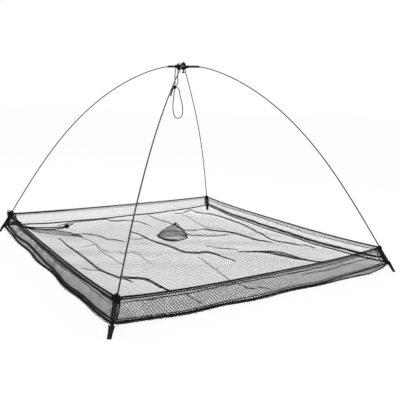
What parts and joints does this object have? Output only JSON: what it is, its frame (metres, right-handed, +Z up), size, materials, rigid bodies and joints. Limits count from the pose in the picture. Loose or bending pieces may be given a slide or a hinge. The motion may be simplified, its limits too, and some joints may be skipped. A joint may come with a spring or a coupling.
{
  "type": "lift net",
  "caption": "Folding bait lift net: a square mesh tray with low walls, held open by bowed rods plugged into crossed hub tubes on a pivot bolt, with a lifting cord and a bait pocket.",
  "frame": {"origin": "on the ground under the middle of the net, on the pivot bolt's axis", "axes": "+Z up; the net's sides run along X and Y, and its corners are left (-X +Y), front (-X -Y), right (+X -Y) and back (+X +Y)"},
  "size_m": [1.085, 1.085, 0.6993],
  "materials": {
    "tube_steel": "dull dark grey steel tube",
    "hardware_steel": "blackened steel",
    "rod": "dark spring-steel rod, satin",
    "cord": "braided black cord",
    "netting": "fine black knotless netting",
    "tape": "black woven tape"
  },
  "bodies": {
    "root": {"cross_bar_lower": "tube_steel", "pivot_bolt": "hardware_steel", "washer_upper": "hardware_steel", "washer_lower": "hardware_steel", "nut_upper": "hardware_steel", "nut_lower": "hardware_steel", "rim_cord_left_front": "cord", "rim_cord_front_right": "cord", "rim_cord_right_back": "cord", "rim_cord_back_left": "cord", "hem_cord_left_front": "cord", "hem_cord_front_right": "cord", "hem_cord_right_back": "cord", "hem_cord_back_left": "cord", "net_wall_left_front": "netting", "net_wall_front_right": "netting", "net_wall_right_back": "netting", "net_wall_back_left": "netting", "net_floor": "netting", "bait_pocket": "netting", "pocket_knot": "cord", "pocket_seam_cord": "cord", "lift_hitch": "cord", "hitch_lead": "cord", "bolt_loop": "cord", "lift_knot": "cord", "lift_strand_left": "cord", "lift_strand_right": "cord", "lift_loop": "cord", "lift_tail": "cord", "storage_tie": "cord", "storage_tie_return": "cord", "storage_tie_tail": "cord", "storage_tie_knot": "cord"},
    "upper_bar": {"cross_bar_upper": "tube_steel"},
    "left_rod": {"rod_left": "rod", "rim_lashing_left": "cord", "hem_lashing_left": "cord", "corner_tape_left": "tape", "foot_pocket_left": "tape"},
    "front_rod": {"rod_front": "rod", "rim_lashing_front": "cord", "hem_lashing_front": "cord", "corner_tape_front": "tape", "foot_pocket_front": "tape"},
    "right_rod": {"rod_right": "rod", "rim_lashing_right": "cord", "hem_lashing_right": "cord", "corner_tape_right": "tape", "foot_pocket_right": "tape"},
    "back_rod": {"rod_back": "rod", "rim_lashing_back": "cord", "hem_lashing_back": "cord", "corner_tape_back": "tape", "foot_pocket_back": "tape"}
  },
  "joints": [
    {"name": "cross_swivel", "type": "hinge", "parent": "root", "child": "upper_bar", "pos_m": [0, 0, 0.6823], "axis": [0, 0, 1], "range_deg": [-10, 10], "deforming": ["net_wall_left_front", "rim_cord_left_front", "hem_cord_left_front", "net_wall_front_right", "rim_cord_front_right", "hem_cord_front_right", "net_wall_right_back", "rim_cord_right_back", "hem_cord_right_back", "net_wall_back_left", "rim_cord_back_left", "hem_cord_back_left", "net_floor"]},
    {"name": "rod_left_pull", "type": "slide", "parent": "root", "child": "left_rod", "axis": [-0.7071, 0.7071, 0], "range_m": [0, 0.038], "deforming": ["net_wall_left_front", "rim_cord_left_front", "hem_cord_left_front", "net_wall_back_left", "rim_cord_back_left", "hem_cord_back_left", "net_floor"]},
    {"name": "rod_front_pull", "type": "slide", "parent": "upper_bar", "child": "front_rod", "axis": [-0.606, -0.7955, 0], "range_m": [0, 0.038], "deforming": ["net_wall_left_front", "rim_cord_left_front", "hem_cord_left_front", "net_wall_front_right", "rim_cord_front_right", "hem_cord_front_right", "net_floor"]},
    {"name": "rod_right_pull", "type": "slide", "parent": "root", "child": "right_rod", "axis": [0.7071, -0.7071, 0], "range_m": [0, 0.038], "deforming": ["net_wall_front_right", "rim_cord_front_right", "hem_cord_front_right", "net_wall_right_back", "rim_cord_right_back", "hem_cord_right_back", "net_floor"]},
    {"name": "rod_back_pull", "type": "slide", "parent": "upper_bar", "child": "back_rod", "axis": [0.606, 0.7955, 0], "range_m": [0, 0.038], "deforming": ["net_wall_right_back", "rim_cord_right_back", "hem_cord_right_back", "net_wall_back_left", "rim_cord_back_left", "hem_cord_back_left", "net_floor"]}
  ]
}
